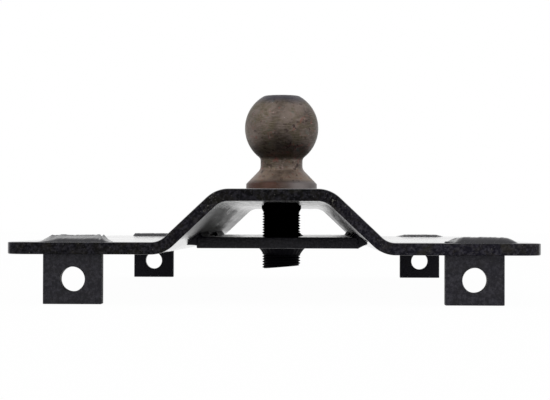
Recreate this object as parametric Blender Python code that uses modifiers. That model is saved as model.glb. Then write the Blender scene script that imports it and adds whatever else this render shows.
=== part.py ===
"""Gooseneck hitch for a pair of fifth-wheel rails, as a weldment of separate pieces.

X runs across the hat, Y along it (front at -Y), Z up. The origin lies under the ball, level with the leg ends.
"""

import math

import bmesh
import bpy
from mathutils import Vector

MM = 0.001
UP = Vector((0.0, 0.0, 1.0))

# Sheet metal
PLATE_THICKNESS = 7.94 * MM
PLATE_WIDTH = 340.4 * MM
CROWN_HALF = 36.4 * MM  # from the middle to the sharp corner of crown and slope
CROWN_RISE = 34.1 * MM  # from the wings' top to the crown's top
SLOPE_ANGLE = math.radians(43.4)
BEND_RADIUS = 12.7 * MM  # inner radius of all four bends
BEND_STEPS = 6
CORNER_RADIUS = 12.7 * MM  # of the wings, seen from above
CORNER_STEPS = 6

# Legs
RAIL_SPACING = 558.8 * MM  # between the rails' middles, and so between the two rows of legs
LEG_INSET = 23.65 * MM  # from the plate's side to the leg's side
LEG_WIDTH = 37.5 * MM
LEG_THICKNESS = 9.53 * MM
LEG_DROP = 31.75 * MM  # below the wings
LEG_SETBACK = 5.0 * MM  # from the plate's end to the leg's outer face
LEG_PROUD = 0.8 * MM  # above the wings
PIN_HOLE_DIAMETER = 15.9 * MM
PIN_HOLE_HEIGHT = 15.9 * MM
HOLE_STEPS = 32

# Cross plate
CROSS_LENGTH = 304.8 * MM
CROSS_THICKNESS = 7.94 * MM
CROSS_HEIGHT = 33.9 * MM  # of its underside
CROSS_ROOT_GAP = 1.0 * MM  # between its upper corners and the slopes

# Hitch ball
BALL_DIAMETER = 58.74 * MM
BALL_HEIGHT = 127.9 * MM
BALL_FLAT_DIAMETER = 27.4 * MM
BALL_FLAT_EDGE = 0.7 * MM
NECK_DIAMETER = 33.6 * MM
NECK_FILLET = 6.0 * MM
CONE_ANGLE = math.radians(44.0)
FLANGE_DIAMETER = 56.6 * MM
FLANGE_SIDE = 9.2 * MM  # height of its upright side
FLANGE_CHAMFER = 1.2 * MM
SHANK_DIAMETER = 31.7 * MM
THREAD_DIAMETER = 30.4 * MM
SHANK_BELOW_CROWN = 1.5 * MM  # plain shank under the crown, before it tapers to the thread
SHANK_TAPER = 4.4 * MM
SHANK_END_HEIGHT = 17.1 * MM  # at the shank's middle
SHANK_END_SLANT = math.radians(4.6)  # it was sawn off a little askew
TURN_STEPS = 48
BALL_STEPS = 20
FILLET_STEPS = 4

# Welds
SEAT_GAP = 0.3 * MM
SLOT_GAP = 0.35 * MM
SHANK_GAP = 0.6 * MM
TOP_BEAD_RADIUS = 4.2 * MM
TOP_BEAD_OFFSET = 0.3 * MM  # of the run's middle outside the leg
TOP_BEAD_CROWN = {
    "front_left": 4.7 * MM,
    "front_right": 3.2 * MM,
    "rear_left": 2.7 * MM,
    "rear_right": 2.4 * MM,
}
RIPPLE_PITCH = 4.6 * MM
RIPPLE_SHARE = 0.06  # of the bead's size
POINTS_PER_RIPPLE = 3
BEAD_STEPS = 4  # sides added to the four of a round bead's section, in pairs
UNDER_BEAD_LEG = 5.0 * MM
CROSS_BEAD_BULGE = 0.4 * MM
CROSS_BEAD_RISE = 3.2 * MM  # of its outer toe above the cross plate's underside
CROSS_BEAD_LENGTH = 101.6 * MM
CROSS_BEAD_INSET = 1.5 * MM  # from the cross plate's end
SHANK_BEAD_WIDTH = 6.6 * MM
SHANK_BEAD_HEIGHT = 7.4 * MM
SHANK_BEAD_LEAN = 0.12  # the run is this much larger on its right and smaller on its left
UPPER_BEAD_LEG = 2.6 * MM
UPPER_BEAD_HALF_ANGLE = math.radians(62.0)

# Derived places
WING_TOP = LEG_DROP + PLATE_THICKNESS
CROWN_TOP = WING_TOP + CROWN_RISE
CROWN_UNDERSIDE = CROWN_TOP - PLATE_THICKNESS
FOOT_HALF = CROWN_HALF + CROWN_RISE / math.tan(SLOPE_ANGLE)
PLATE_LENGTH = RAIL_SPACING + LEG_THICKNESS + 2.0 * LEG_SETBACK
LEG_SPACING = PLATE_WIDTH - 2.0 * LEG_INSET - LEG_WIDTH  # between the two legs in one rail
CROSS_TOP = CROSS_HEIGHT + CROSS_THICKNESS


def slope_underside(height):
    """Distance from the middle to the slope's underside at a height."""
    along = (height - WING_TOP) / math.tan(SLOPE_ANGLE)
    return FOOT_HALF - along - PLATE_THICKNESS / math.sin(SLOPE_ANGLE)


CROSS_HALF = slope_underside(CROSS_TOP) - CROSS_ROOT_GAP
ROWS = {"front": -1, "rear": 1}
SIDES = {"left": -1, "right": 1}


# Scene and materials


def clear_scene():
    for obj in list(bpy.data.objects):
        bpy.data.objects.remove(obj, do_unlink=True)


def new_collection(name):
    collection = bpy.data.collections.new(name)
    bpy.context.scene.collection.children.link(collection)
    return collection


def new_material(name, colour, roughness, metallic):
    material = bpy.data.materials.new(name)
    material.use_nodes = True
    shader = material.node_tree.nodes["Principled BSDF"]
    shader.inputs["Base Color"].default_value = (*colour, 1.0)
    shader.inputs["Roughness"].default_value = roughness
    shader.inputs["Metallic"].default_value = metallic
    return material


# Shapes


def arc(centre, radius, start, end, steps):
    """Points on an arc from one angle to the other, both ends included."""
    angles = [start + (end - start) * i / steps for i in range(steps + 1)]
    return [(centre[0] + radius * math.cos(a), centre[1] + radius * math.sin(a)) for a in angles]


def circle(centre, radius, steps):
    return arc(centre, radius, 0.0, 2.0 * math.pi, steps)[:-1]


def rounded_rectangle(half_x, half_y, radius, steps):
    points = []
    for quarter, (sx, sy) in enumerate(((1, 1), (-1, 1), (-1, -1), (1, -1))):
        centre = (sx * (half_x - radius), sy * (half_y - radius))
        start = quarter * math.pi / 2.0
        points += arc(centre, radius, start, start + math.pi / 2.0, steps)
    return points


def rectangle(half_x, half_y):
    return [(half_x, half_y), (-half_x, half_y), (-half_x, -half_y), (half_x, -half_y)]


def add_spline(curve, points, closed=True):
    spline = curve.splines.new("POLY")
    spline.points.add(len(points) - 1)
    for slot, point in zip(spline.points, points):
        slot.co = (*point, *([0.0] * (3 - len(point))), 1.0)
    spline.use_cyclic_u = closed
    return spline


def as_mesh(obj, collection):
    """Turns a curve object into a closed mesh object of the same name and place."""
    bpy.context.view_layer.update()
    evaluated = obj.evaluated_get(bpy.context.evaluated_depsgraph_get())
    mesh = bpy.data.meshes.new_from_object(evaluated)
    shape = bmesh.new()
    shape.from_mesh(mesh)
    bmesh.ops.remove_doubles(shape, verts=shape.verts, dist=0.002 * MM)
    bmesh.ops.recalc_face_normals(shape, faces=shape.faces)
    shape.to_mesh(mesh)
    shape.free()
    name = obj.name
    matrix = obj.matrix_world.copy()
    bpy.data.objects.remove(obj, do_unlink=True)
    made = bpy.data.objects.new(name, mesh)
    made.matrix_world = matrix
    collection.objects.link(made)
    return made


def flat_piece(name, collection, outlines, thickness, upright=False):
    """A flat piece from its outline and holes, centred on its thickness. Upright, the outline stands in X and Z."""
    curve = bpy.data.curves.new(name, "CURVE")
    curve.dimensions = "2D"
    curve.fill_mode = "BOTH"
    curve.extrude = thickness / 2.0
    for outline in outlines:
        add_spline(curve, outline)
    obj = bpy.data.objects.new(name, curve)
    if upright:
        obj.rotation_euler = (math.pi / 2.0, 0.0, 0.0)
    collection.objects.link(obj)
    return as_mesh(obj, collection)


def box_cutter(name, collection, centre, size):
    mesh = bpy.data.meshes.new(name)
    shape = bmesh.new()
    bmesh.ops.create_cube(shape, size=1.0)
    bmesh.ops.scale(shape, vec=size, verts=shape.verts)
    shape.to_mesh(mesh)
    shape.free()
    obj = bpy.data.objects.new(name, mesh)
    obj.location = centre
    collection.objects.link(obj)
    return as_cutter(obj)


def as_cutter(obj):
    obj.hide_render = True
    obj.display_type = "WIRE"
    return obj


def add_boolean(obj, cutter, operation="DIFFERENCE"):
    modifier = obj.modifiers.new(cutter.name, "BOOLEAN")
    modifier.operation = operation
    modifier.solver = "EXACT"
    modifier.object = cutter


def turned_piece(name, collection, profile):
    """Spins a profile of (radius, height) pairs, listed from the top down, round Z."""
    mesh = bpy.data.meshes.new(name)
    shape = bmesh.new()
    verts = [shape.verts.new((radius, 0.0, height)) for radius, height in profile]
    for upper, lower in zip(verts, verts[1:]):
        shape.edges.new((upper, lower))
    shape.to_mesh(mesh)
    shape.free()
    obj = bpy.data.objects.new(name, mesh)
    collection.objects.link(obj)
    screw = obj.modifiers.new("Turn", "SCREW")
    screw.axis = "Z"
    screw.steps = TURN_STEPS
    screw.render_steps = TURN_STEPS
    screw.use_merge_vertices = True
    screw.merge_threshold = 0.01 * MM
    return obj


def smooth_shading(obj, angle_degrees=35.0):
    obj.data.shade_smooth()
    obj.data.set_sharp_from_angle(angle=math.radians(angle_degrees))


# Main plate


def plate_section():
    """Outline of the bent plate in X and Z, from the left wing over the crown to the right wing and back."""
    outer = BEND_RADIUS + PLATE_THICKNESS
    half_turn = math.tan(SLOPE_ANGLE / 2.0)
    crown_centre = (CROWN_HALF - outer * half_turn, CROWN_TOP - outer)
    foot_centre = (FOOT_HALF + BEND_RADIUS * half_turn, WING_TOP + BEND_RADIUS)
    crown_angles = (math.pi / 2.0, math.pi / 2.0 - SLOPE_ANGLE)
    foot_angles = (1.5 * math.pi - SLOPE_ANGLE, 1.5 * math.pi)
    top = arc(crown_centre, outer, *crown_angles, BEND_STEPS)
    top += arc(foot_centre, BEND_RADIUS, *foot_angles, BEND_STEPS)
    top.append((PLATE_WIDTH / 2.0, WING_TOP))
    under = arc(crown_centre, BEND_RADIUS, *crown_angles, BEND_STEPS)
    under += arc(foot_centre, outer, *foot_angles, BEND_STEPS)
    under.append((PLATE_WIDTH / 2.0, LEG_DROP))
    mirrored_top = [(-x, z) for x, z in reversed(top)]
    mirrored_under = [(-x, z) for x, z in under]
    return mirrored_top + top + under[::-1] + mirrored_under


def leg_place(row, side):
    return Vector((SIDES[side] * LEG_SPACING / 2.0, ROWS[row] * RAIL_SPACING / 2.0, 0.0))


def build_main_plate(parts, cutters):
    plate = flat_piece("main_plate", parts, [plate_section()], PLATE_LENGTH, upright=True)
    corners = rounded_rectangle(PLATE_WIDTH / 2.0, PLATE_LENGTH / 2.0, CORNER_RADIUS, CORNER_STEPS)
    trim = flat_piece("plate_plan_trim", cutters, [corners], 2.0 * CROWN_TOP)
    trim.location.z = CROWN_TOP / 2.0
    add_boolean(plate, as_cutter(trim), "INTERSECT")
    for row in ROWS:
        for side in SIDES:
            place = leg_place(row, side)
            place.z = WING_TOP
            size = (LEG_WIDTH + 2.0 * SLOT_GAP, LEG_THICKNESS + 2.0 * SLOT_GAP, 3.0 * PLATE_THICKNESS)
            add_boolean(plate, box_cutter(f"slot_{row}_{side}", cutters, place, size))
    radius = SHANK_DIAMETER / 2.0 + SLOT_GAP
    bore = flat_piece("crown_bore", cutters, [circle((0.0, 0.0), radius, TURN_STEPS)], 3.0 * PLATE_THICKNESS)
    bore.location.z = CROWN_TOP
    add_boolean(plate, as_cutter(bore))
    smooth_shading(plate, 30.0)
    return plate


# Legs


def build_legs(parts):
    height = WING_TOP + LEG_PROUD
    outline = [(x, z + height / 2.0) for x, z in rectangle(LEG_WIDTH / 2.0, height / 2.0)]
    hole = circle((0.0, PIN_HOLE_HEIGHT), PIN_HOLE_DIAMETER / 2.0, HOLE_STEPS)
    shared = None
    legs = []
    for row in ROWS:
        for side in SIDES:
            name = f"leg_{row}_{side}"
            if shared is None:
                leg = flat_piece(name, parts, [outline, hole], LEG_THICKNESS, upright=True)
                smooth_shading(leg)
                shared = leg
            else:
                leg = bpy.data.objects.new(name, shared.data)
                leg.rotation_euler = shared.rotation_euler
                parts.objects.link(leg)
            leg.location = leg_place(row, side)
            legs.append(leg)
    return legs


# Cross plate


def build_cross_plate(parts):
    outline = rectangle(CROSS_HALF, CROSS_LENGTH / 2.0)
    hole = circle((0.0, 0.0), THREAD_DIAMETER / 2.0 + SHANK_GAP, TURN_STEPS)
    plate = flat_piece("cross_plate", parts, [outline, hole], CROSS_THICKNESS)
    plate.location.z = CROSS_HEIGHT + CROSS_THICKNESS / 2.0
    smooth_shading(plate)
    return plate


# Hitch ball


def ball_profile():
    """Outline of ball, neck, flange and shank as (radius, height), from the top down."""
    radius = BALL_DIAMETER / 2.0
    neck = NECK_DIAMETER / 2.0
    flat = BALL_FLAT_DIAMETER / 2.0
    flat_height = math.sqrt(radius**2 - (flat + BALL_FLAT_EDGE) ** 2)
    start = math.atan2(flat_height, flat + BALL_FLAT_EDGE)
    end = -math.acos(neck / radius)
    points = [(0.0, BALL_HEIGHT + flat_height + BALL_FLAT_EDGE / 2.0)]
    points.append((flat, BALL_HEIGHT + flat_height + BALL_FLAT_EDGE / 2.0))
    points += arc((0.0, BALL_HEIGHT), radius, start, end, BALL_STEPS)

    seat = CROWN_TOP + SEAT_GAP
    side_top = seat + FLANGE_SIDE
    cone_foot = (FLANGE_DIAMETER / 2.0 - FLANGE_CHAMFER, side_top + FLANGE_CHAMFER)
    cone_top = cone_foot[1] + (cone_foot[0] - neck) / math.tan(CONE_ANGLE)
    tangent = NECK_FILLET * math.tan(CONE_ANGLE / 2.0)
    fillet_centre = (neck + NECK_FILLET, cone_top + tangent)
    points += arc(fillet_centre, NECK_FILLET, math.pi, math.pi + CONE_ANGLE, FILLET_STEPS)
    points += [cone_foot, (FLANGE_DIAMETER / 2.0, side_top), (FLANGE_DIAMETER / 2.0, seat)]

    shank = SHANK_DIAMETER / 2.0
    taper_top = CROWN_UNDERSIDE - SHANK_BELOW_CROWN
    points += [(shank, seat), (shank, taper_top), (THREAD_DIAMETER / 2.0, taper_top - SHANK_TAPER)]
    points += [(THREAD_DIAMETER / 2.0, 0.0), (0.0, 0.0)]
    return points


def build_hitch_ball(parts, cutters):
    ball = turned_piece("hitch_ball", parts, ball_profile())
    smooth_shading(ball, 30.0)
    size = (3.0 * THREAD_DIAMETER, 3.0 * THREAD_DIAMETER, THREAD_DIAMETER)
    saw = box_cutter("shank_saw_cut", cutters, (0.0, 0.0, 0.0), size)
    saw.rotation_euler.y = -SHANK_END_SLANT
    saw.location.z = SHANK_END_HEIGHT - size[2] / 2.0 / math.cos(SHANK_END_SLANT)
    add_boolean(ball, saw)
    return ball


# Welds


def ripple(distance):
    return 1.0 + RIPPLE_SHARE * math.cos(2.0 * math.pi * distance / RIPPLE_PITCH)


def along_line(start, end):
    """Points from start to end with a few to every ripple, and each one's distance from the start."""
    start, end = Vector(start), Vector(end)
    length = (end - start).length
    count = max(2, round(POINTS_PER_RIPPLE * length / RIPPLE_PITCH))
    return [start.lerp(end, i / count) for i in range(count + 1)]


def round_leg(half_x, half_y, offset):
    """Points round a leg at an offset from its faces, with half circles at the ends and even steps along the faces."""
    points = []
    corners = rounded_rectangle(half_x + offset, half_y + offset, half_y + offset, 5)
    for (x, y), (next_x, next_y) in zip(corners, corners[1:] + corners[:1]):
        here = Vector((x, y, 0.0))
        step = Vector((next_x, next_y, 0.0)) - here
        if step.length < SEAT_GAP:
            continue
        count = max(1, round(step.length * POINTS_PER_RIPPLE / RIPPLE_PITCH))
        points += [here + step * i / count for i in range(count)]
    return points


def bead_curve(name, collection, points, sizes, closed):
    curve = bpy.data.curves.new(name, "CURVE")
    curve.dimensions = "3D"
    curve.twist_mode = "Z_UP"
    curve.use_fill_caps = not closed
    spline = add_spline(curve, points, closed)
    for slot, size in zip(spline.points, sizes):
        slot.radius = size
    obj = bpy.data.objects.new(name, curve)
    collection.objects.link(obj)
    return obj


def round_bead(name, collection, points, sizes, radius, closed):
    """A weld run of round section along a path. The sizes are shares of the radius at each point."""
    obj = bead_curve(name, collection, points, sizes, closed)
    obj.data.bevel_depth = radius
    obj.data.bevel_resolution = BEAD_STEPS
    return as_mesh(obj, collection)


def fillet_bead(name, collection, points, sizes, section, closed):
    """A fillet weld: its section has its inner corner on the path, so that it grows and shrinks about the root."""
    outline = bpy.data.curves.new(name + "_section", "CURVE")
    outline.dimensions = "2D"
    outline.fill_mode = "NONE"
    add_spline(outline, section)
    guide = bpy.data.objects.new(name + "_section", outline)
    collection.objects.link(guide)
    obj = bead_curve(name, collection, points, sizes, closed)
    obj.data.bevel_mode = "OBJECT"
    obj.data.bevel_object = guide
    made = as_mesh(obj, collection)
    bpy.data.objects.remove(guide, do_unlink=True)
    return made


def fillet_section(toe_a, toe_b, bulge, steps=4):
    """Section of a fillet weld: the root at zero and a face from one toe to the other, hollow where bulge is under 0."""
    toe_a, toe_b = Vector(toe_a), Vector(toe_b)
    chord = toe_b - toe_a
    outward = Vector((chord.y, -chord.x)).normalized()
    if outward.dot(toe_a) < 0.0:
        outward = -outward
    face = []
    for i in range(steps + 1):
        share = i / steps
        face.append(toe_a.lerp(toe_b, share) + outward * bulge * 4.0 * share * (1.0 - share))
    return [(0.0, 0.0)] + [tuple(point) for point in face]


def distances(points):
    total = 0.0
    found = [0.0]
    for a, b in zip(points, points[1:]):
        total += (b - a).length
        found.append(total)
    return found


def build_leg_top_welds(parts, cutters):
    half_x = LEG_WIDTH / 2.0
    half_y = LEG_THICKNESS / 2.0
    floor = box_cutter("wing_plane", cutters, (0.0, 0.0, 0.0), (PLATE_WIDTH, 1.1 * PLATE_LENGTH, 6.0 * TOP_BEAD_RADIUS))
    floor.location.z = WING_TOP + SEAT_GAP - 3.0 * TOP_BEAD_RADIUS
    for row in ROWS:
        for side in SIDES:
            place = leg_place(row, side)
            crown = TOP_BEAD_CROWN[f"{row}_{side}"]
            path = round_leg(half_x, half_y, TOP_BEAD_OFFSET)
            sizes = [ripple(d) for d in distances(path)]
            bead = round_bead(f"weld_leg_top_{row}_{side}", parts, path, sizes, TOP_BEAD_RADIUS, True)
            bead.location = place + UP * (WING_TOP + crown - TOP_BEAD_RADIUS)
            size = (LEG_WIDTH + 2.0 * SEAT_GAP, LEG_THICKNESS + 2.0 * SEAT_GAP, 4.0 * LEG_PROUD)
            tab = box_cutter(f"leg_end_{row}_{side}", cutters, place, size)
            tab.location.z = WING_TOP + LEG_PROUD + SEAT_GAP - size[2] / 2.0
            add_boolean(bead, floor)
            add_boolean(bead, tab)


def build_leg_under_welds(parts):
    """Fillet welds between the legs' inner faces and the wings' undersides."""
    section = fillet_section((UNDER_BEAD_LEG, 0.0), (0.0, -UNDER_BEAD_LEG), 0.4 * MM)
    half = LEG_WIDTH / 2.0 - UNDER_BEAD_LEG / 2.0
    for row, outward in ROWS.items():
        for side in SIDES:
            path = along_line((-half * outward, 0.0, 0.0), (half * outward, 0.0, 0.0))
            sizes = [ripple(d) for d in distances(path)]
            bead = fillet_bead(f"weld_leg_under_{row}_{side}", parts, path, sizes, section, False)
            inner_face = leg_place(row, side) - Vector((0.0, outward * (LEG_THICKNESS / 2.0 + SEAT_GAP), 0.0))
            bead.location = inner_face + UP * (LEG_DROP - SEAT_GAP)


def build_cross_welds(parts):
    """Welds in the groove between the cross plate's ends and the slopes, open downwards, two runs on each side."""
    outer_toe_height = CROSS_HEIGHT + CROSS_BEAD_RISE
    end = CROSS_HALF + SEAT_GAP
    slope_gap = SEAT_GAP / math.sin(SLOPE_ANGLE)
    root_height = CROSS_TOP - SEAT_GAP
    root = Vector((slope_underside(root_height) - slope_gap, root_height))
    inner_corner = Vector((end, root_height)) - root
    lower_toe = Vector((end, CROSS_HEIGHT)) - root
    outer_toe = Vector((slope_underside(outer_toe_height) - slope_gap, outer_toe_height)) - root
    face = fillet_section(lower_toe, outer_toe, CROSS_BEAD_BULGE)[1:]
    section = [(0.0, 0.0), tuple(inner_corner)] + face
    for row, outward in ROWS.items():
        for side, sign in SIDES.items():
            middle = outward * (CROSS_LENGTH / 2.0 - CROSS_BEAD_INSET - CROSS_BEAD_LENGTH / 2.0)
            reach = sign * CROSS_BEAD_LENGTH / 2.0
            path = along_line((0.0, middle - reach, 0.0), (0.0, middle + reach, 0.0))
            sizes = [ripple(d) for d in distances(path)]
            bead = fillet_bead(f"weld_cross_{row}_{side}", parts, path, sizes, section, False)
            bead.location = (sign * root.x, 0.0, root.y)


def build_shank_welds(parts):
    radius = THREAD_DIAMETER / 2.0 + SEAT_GAP
    lower = fillet_section((SHANK_BEAD_WIDTH, 0.0), (0.0, -SHANK_BEAD_HEIGHT), -0.9 * MM)
    path = [Vector((x, y, 0.0)) for x, y in circle((0.0, 0.0), radius, TURN_STEPS)]
    sizes = []
    for point, distance in zip(path, distances(path)):
        sizes.append(ripple(distance) + SHANK_BEAD_LEAN * point.x / radius)
    bead = fillet_bead("weld_shank_lower", parts, path, sizes, lower, True)
    bead.location.z = CROSS_HEIGHT - SEAT_GAP

    upper = fillet_section((UPPER_BEAD_LEG, 0.0), (0.0, UPPER_BEAD_LEG), -0.2 * MM)
    steps = 18
    turn = arc((0.0, 0.0), radius, -UPPER_BEAD_HALF_ANGLE, UPPER_BEAD_HALF_ANGLE, steps)
    path = [Vector((x, y, 0.0)) for x, y in turn]
    sizes = [ripple(d) for d in distances(path)]
    bead = fillet_bead("weld_shank_upper", parts, path, sizes, upper, False)
    bead.location.z = CROSS_TOP + SEAT_GAP


def main():
    clear_scene()
    parts = new_collection("gooseneck_hitch")
    cutters = new_collection("cutters")
    build_main_plate(parts, cutters)
    build_legs(parts)
    build_cross_plate(parts)
    build_hitch_ball(parts, cutters)
    build_leg_top_welds(parts, cutters)
    build_leg_under_welds(parts)
    build_cross_welds(parts)
    build_shank_welds(parts)

    coat = new_material("black powder coat", (0.018, 0.018, 0.021), 0.35, 0.0)
    steel = new_material("bare steel", (0.2, 0.17, 0.15), 0.4, 0.9)
    for obj in parts.objects:
        obj.data.materials.clear()
        obj.data.materials.append(steel if obj.name == "hitch_ball" else coat)


main()
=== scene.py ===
"""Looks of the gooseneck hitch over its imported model: bent plate, legs, cross plate, ball, shank and welds.

Lengths are written in millimetres, shapes are worked out in millimetres, and meshes hold metres.
X runs across the hat, Y along it with the camera's end at -Y, and Z up from the leg ends.
"""

import math

import bpy
import numpy as np
from mathutils import Matrix


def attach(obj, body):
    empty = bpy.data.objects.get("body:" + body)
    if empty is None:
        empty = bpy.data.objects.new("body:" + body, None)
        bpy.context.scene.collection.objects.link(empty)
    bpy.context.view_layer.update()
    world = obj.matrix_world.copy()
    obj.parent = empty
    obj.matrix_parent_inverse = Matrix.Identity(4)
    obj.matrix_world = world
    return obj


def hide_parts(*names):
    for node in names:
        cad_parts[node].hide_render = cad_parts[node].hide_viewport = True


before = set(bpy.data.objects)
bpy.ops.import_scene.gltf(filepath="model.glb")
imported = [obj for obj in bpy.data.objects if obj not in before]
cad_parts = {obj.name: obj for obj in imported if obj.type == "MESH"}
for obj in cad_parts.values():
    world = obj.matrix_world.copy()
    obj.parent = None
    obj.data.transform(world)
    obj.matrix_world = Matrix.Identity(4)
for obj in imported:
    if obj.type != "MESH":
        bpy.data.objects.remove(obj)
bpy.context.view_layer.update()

MM = 0.001
SEAT_GAP = 0.3  # between pieces that touch on the real object

# Bent plate
THICKNESS = 7.94
PLATE_HALF_WIDTH = 170.2
PLATE_HALF_LENGTH = 289.165
PLAN_CORNER = 12.7
CROWN_HALF = 36.4  # from the middle to the sharp corner of crown and slope
CROWN_FLAT = 28.19  # from the middle to the start of the upper bend
CROWN_TOP = 73.79
WING_TOP = 39.69
WING_UNDERSIDE = WING_TOP - THICKNESS
SLOPE = math.radians(43.4)
BEND = 12.7 + THICKNESS / 2.0  # radius of the middle line
CUT_EDGE = 0.9
ROLL_DEPTH = 3.4  # of the rolled-over upper edge that the shear leaves, from the outline inwards
ROLL_DROP = 0.6

# Legs and cross plate
LEG_X = 127.8
LEG_Y = 279.4
LEG_WIDTH = 37.5
LEG_THICKNESS = 9.53
LEG_HEIGHT = 40.49
LEG_CORNER = 0.6
LEG_EDGE = 0.55
PIN_HEIGHT = 15.9
PIN_RADIUS = 7.95
CROSS_HALF_WIDTH = 57.63
CROSS_HALF_LENGTH = 152.4
CROSS_UNDERSIDE = 33.9
CROSS_THICKNESS = 7.94
CROSS_TOP = CROSS_UNDERSIDE + CROSS_THICKNESS
CROSS_CORNER = 1.2
CROSS_EDGE = 0.7

# Ball and shank
BALL_RADIUS = 29.37
BALL_HEIGHT = 127.9
FLAT_RADIUS = 13.7
FLAT_EDGE = 0.7
NECK_RADIUS = 16.8
NECK_FILLET = 6.0  # from neck to cone
NECK_BLEND = 4.5  # from ball to neck
CONE = math.radians(44.0)
FLANGE_RADIUS = 28.3
FLANGE_SIDE = 9.2
FLANGE_CHAMFER = 1.2
SEAT = CROWN_TOP + SEAT_GAP
SHANK_RADIUS = 15.8
SHANK_TOP = CROWN_TOP - 1.0
THREAD_CREST = 15.18
THREAD_ROOT = 13.9
THREAD_PITCH = 2.117
THREAD_GAIN = 1.35  # of the triangle wave, before its crests and roots are cut flat
TAPER_TOP = 64.35
TAPER = 4.4
SHANK_END = 17.1
SHANK_SLANT = math.tan(math.radians(4.6))

# Welds
PAD_LUMP = 0.15
PAD_RIPPLE = 0.05
PAD_DEPTH = 0.7  # of the pad's underside, below the wing's top
UNDER_PITCH = 3.4
UNDER_HALF_LENGTH = 18.4
CROSS_PITCH = 3.6
CROSS_RUN_ENDS = (49.3, 152.1)
UPPER_RUN_TURN = 1.08  # in radians, to either side of +X
UPPER_RUN_TAPER = 3.0

# Skylines of the weld pads: X from the leg's middle, and the share of the crest's height
LUMPY = [
    *((-22.8, 0.02), (-21.6, 0.06), (-14.5, 0.97), (-12.3, 0.88), (-8.0, 1.0), (-4.3, 0.95), (2.2, 0.93)),
    *((11.3, 0.97), (16.4, 1.0), (17.4, 0.72), (18.6, 1.0), (19.4, 0.84), (21.5, 0.34), (24.6, 0.03)),
]
DOMED = [
    *((-18.6, 0.02), (-10.6, 0.98), (-5.0, 1.0), (12.0, 1.0)),
    *((18.0, 0.93), (21.6, 0.8), (24.3, 0.5), (27.2, 0.03)),
]
STEEP = [(-20.0, 0.1), (-18.2, 0.95), (-12.0, 1.0), (16.0, 1.0), (19.0, 0.78), (22.0, 0.05)]
FLARED = [(-22.6, 0.03), (-14.1, 0.95), (0.0, 1.0), (15.5, 0.97), (22.6, 0.03)]

# Profiles of the weld pads: Y from the leg's middle towards the plate's end, and the share of the skyline
TILTED = [(-10.0, 0.0), (-8.0, 0.8), (-6.6, 1.0), (-5.0, 0.84), (7.6, 0.1), (8.0, 0.0)]
STEPPED = [
    *((-10.0, 0.0), (-8.0, 0.8), (-6.6, 1.0), (-5.8, 0.95)),
    *((-5.0, 0.88), (4.4, 0.52), (6.4, 0.36), (8.0, 0.0)),
]
RAMP = [(-9.0, 0.0), (-7.5, 0.7), (-6.0, 1.0), (-4.5, 0.8), (7.6, 0.1), (8.0, 0.0)]
BLUNT = [
    *((-9.0, 0.0), (-6.5, 0.85), (0.0, 1.0), (2.5, 1.0)),
    *((4.6, 0.88), (6.4, 0.58), (7.4, 0.3), (8.0, 0.0)),
]
ROUND = [(-8.6, 0.0), (-7.3, 0.5), (-6.0, 0.86), (-4.6, 1.0), (4.6, 1.0), (6.6, 0.7), (8.6, 0.0)]

# Each pad's crest height, skyline, left and right profile, the X between which they blend, and its seed
PADS = {
    "front_left": (4.75, LUMPY, TILTED, STEPPED, (-15.0, -9.0), 11),
    "front_right": (3.75, DOMED, RAMP, BLUNT, (-14.0, -7.0), 23),
    "rear_left": (2.4, STEEP, ROUND, ROUND, (-1.0, 1.0), 37),
    "rear_right": (1.8, FLARED, ROUND, ROUND, (-1.0, 1.0), 41),
}

# Heights of the cross plate's welds above its underside, at the plate and at the slope
CROSS_RISES = {"left": (1.9, 2.4), "right": (0.3, 3.4)}

ROWS = {"front": -1, "rear": 1}
SIDES = {"left": -1, "right": 1}
END_FACING = 0.55  # the share of a face's normal along Y above which it counts as an end

# Colours of the coat
COAT_DARK = (0.0036, 0.0034, 0.0056)
COAT_LIGHT = (0.0098, 0.0090, 0.0150)
COAT_PEEL = (0.0120, 0.0108, 0.0185)
COAT_SHADOW = (0.0012, 0.0012, 0.0014)
COAT_SPECKLE = (0.040, 0.038, 0.048)
COAT_OLIVE = (0.030, 0.027, 0.016)
# Light flecks: dust all over, and painted highlights on each upper bend
COAT_DUST_AND_HIGHLIGHT = (0.12, 0.115, 0.10)

# Colours of the steel
OXIDE_DARK = (0.066, 0.050, 0.040)
OXIDE_LIGHT = (0.160, 0.128, 0.110)
OXIDE_OLIVE = (0.082, 0.070, 0.038)
NECK_BROWN = (0.052, 0.038, 0.026)
CONE_TAN = (0.265, 0.195, 0.150)
LATHE_GREY = (0.200, 0.160, 0.140)
RUST_RED = (0.150, 0.050, 0.038)
BLOOM_GREEN = (0.110, 0.135, 0.125)
BLOOM_PINK = (0.230, 0.165, 0.150)
PIT_DARK = (0.034, 0.020, 0.019)
# Painted highlight colour, for flecks that stand in for glints of light
PAINTED_GLINT = (0.50, 0.45, 0.42)
# Painted shade colour of the band round the ball's top
CAP_PAINTED_SHADE = (0.034, 0.034, 0.050)
FLANGE_RED = (0.052, 0.020, 0.014)
FLANGE_GREY = (0.125, 0.112, 0.112)

# Studio, in metres, degrees and watts
FLOOR_DROP = 0.0004
FLOOR_CORNERS = ((-6.0, -6.0), (6.0, -6.0), (6.0, 9.0), (-6.0, 9.0))
FLOOR_GLOW = 0.98
WORLD_LIGHT = 0.7
LAMP_TARGET = (0.0, 0.0, 0.05)
CAMERA_PLACE = (0.0248, -1.3690, 0.0515)
CAMERA_PAN = 1.254
CAMERA_TILT = 90.795
CAMERA_ROLL = 0.164
CAMERA_LENS = 111.94


# Meshes


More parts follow.
